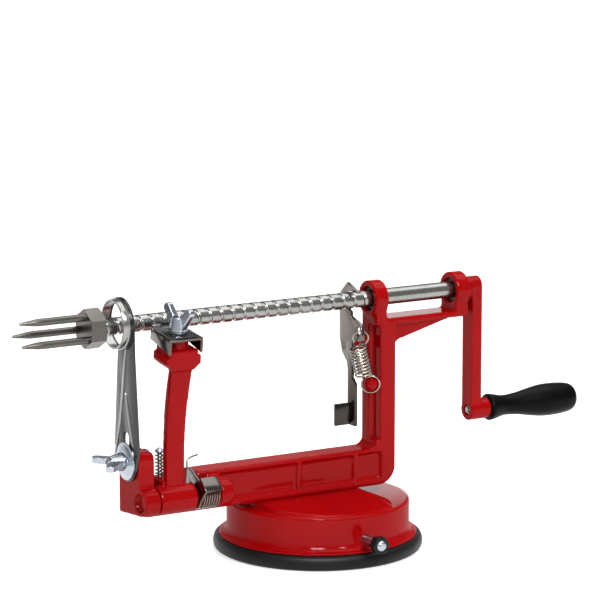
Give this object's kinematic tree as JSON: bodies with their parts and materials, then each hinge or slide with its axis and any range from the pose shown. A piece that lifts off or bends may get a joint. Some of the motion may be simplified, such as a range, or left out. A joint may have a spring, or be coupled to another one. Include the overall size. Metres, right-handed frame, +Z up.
{
  "type": "apple peeler",
  "caption": "Hand-cranked apple peeler, corer and slicer with a threaded feed shaft and sprung peeling arm on a suction base.",
  "frame": {"origin": "centre of the suction base on the table", "axes": "+Z up, +X along the shaft towards the crank, -Y towards the user"},
  "size_m": [0.3059, 0.1131, 0.1305],
  "materials": {
    "red_enamel": "gloss",
    "steel": "satin",
    "blade_steel": "polished",
    "nickel_plate": "satin",
    "dark_bush": "matte",
    "black_plastic": "satin",
    "black_grip": "gloss",
    "black_rubber": "matte"
  },
  "bodies": {
    "frame": {"frame": "red_enamel", "base_housing": "red_enamel", "foot_screws": "steel", "suction_cup": "black_rubber", "slicer_blade": "blade_steel", "corer_ring": "blade_steel", "slicer_bolt": "steel", "slicer_washer": "steel", "arm_pivot_pin": "steel", "release_pin": "steel", "release_spring": "nickel_plate"},
    "sleeves": {"front_bush": "dark_bush", "rear_bush": "dark_bush"},
    "shaft": {"drive_shaft": "steel", "fork_hub": "steel", "fork_prongs": "steel", "crank_arm": "red_enamel", "grip_axle": "steel"},
    "grip": {"crank_grip": "black_grip"},
    "arm": {"peeler_arm": "red_enamel", "blade_holder": "nickel_plate", "peeling_blade": "blade_steel", "holder_stud": "steel", "holder_washer": "steel", "stop_spring": "nickel_plate", "arm_spring": "nickel_plate"},
    "holder_nut": {"holder_wing_nut": "steel"},
    "stop": {"stop_screw": "steel"},
    "latch": {"arm_latch": "nickel_plate"},
    "release": {"release_plate": "nickel_plate"},
    "slicer_nut": {"slicer_wing_nut": "steel"},
    "lever": {"suction_lever": "black_plastic", "cam_axle": "steel", "axle_collar": "black_plastic"},
    "stem": {"cup_stem": "steel"}
  },
  "joints": [
    {"name": "crank_turn", "type": "hinge", "parent": "frame", "child": "sleeves", "pos_m": [0, 0, 0.1175], "axis": [1, 0, 0], "range_deg": [0, 6600]},
    {"name": "feed_slide", "type": "slide", "parent": "sleeves", "child": "shaft", "axis": [1, 0, 0], "range_m": [0, 0.1101]},
    {"name": "grip_spin", "type": "hinge", "parent": "shaft", "child": "grip", "pos_m": [0.0965, 0, 0.0568], "axis": [1, 0, 0], "continuous": true},
    {"name": "arm_swing", "type": "hinge", "parent": "frame", "child": "arm", "pos_m": [-0.086, -0.0153, 0.037], "axis": [1, 0, 0], "range_deg": [0, 40], "stiffness_Nm_per_rad": 0.1, "springref_deg": -28.65},
    {"name": "holder_nut_turn", "type": "hinge", "parent": "arm", "child": "holder_nut", "pos_m": [-0.086, -0.02038, 0.11694], "axis": [0, -0.1132, 0.9936], "continuous": true},
    {"name": "stop_screw_turn", "type": "hinge", "parent": "arm", "child": "stop", "pos_m": [-0.0876, -0.0045, 0.045], "axis": [0, 0, 1], "continuous": true},
    {"name": "latch_press", "type": "hinge", "parent": "frame", "child": "latch", "pos_m": [-0.075, -0.0153, 0.037], "axis": [1, 0, 0], "range_deg": [0, 15], "stiffness_Nm_per_rad": 0.05, "springref_deg": -17.19},
    {"name": "release_tilt", "type": "hinge", "parent": "frame", "child": "release", "pos_m": [0.018, 0.0045, 0.095], "axis": [1, 0, 0], "range_deg": [-6, 0], "stiffness_Nm_per_rad": 0.1, "springref_deg": 17.19, "deforming": ["release_spring"]},
    {"name": "slicer_nut_turn", "type": "hinge", "parent": "frame", "child": "slicer_nut", "pos_m": [-0.11, -0.005, 0.055], "axis": [1, 0, 0], "continuous": true},
    {"name": "lever_turn", "type": "hinge", "parent": "frame", "child": "lever", "pos_m": [0, 0, 0.0128], "axis": [0, -1, 0], "range_deg": [0, 180]},
    {"name": "cup_lift", "type": "slide", "parent": "frame", "child": "stem", "axis": [0, 0, 1], "range_m": [0, 0.0028]}
  ],
  "couplings": [
    {"joint": "feed_slide", "follows": "crank_turn", "m_per_rad": 0.00095493},
    {"joint": "lever_turn", "follows": "cup_lift", "rad_per_m": 1122}
  ]
}
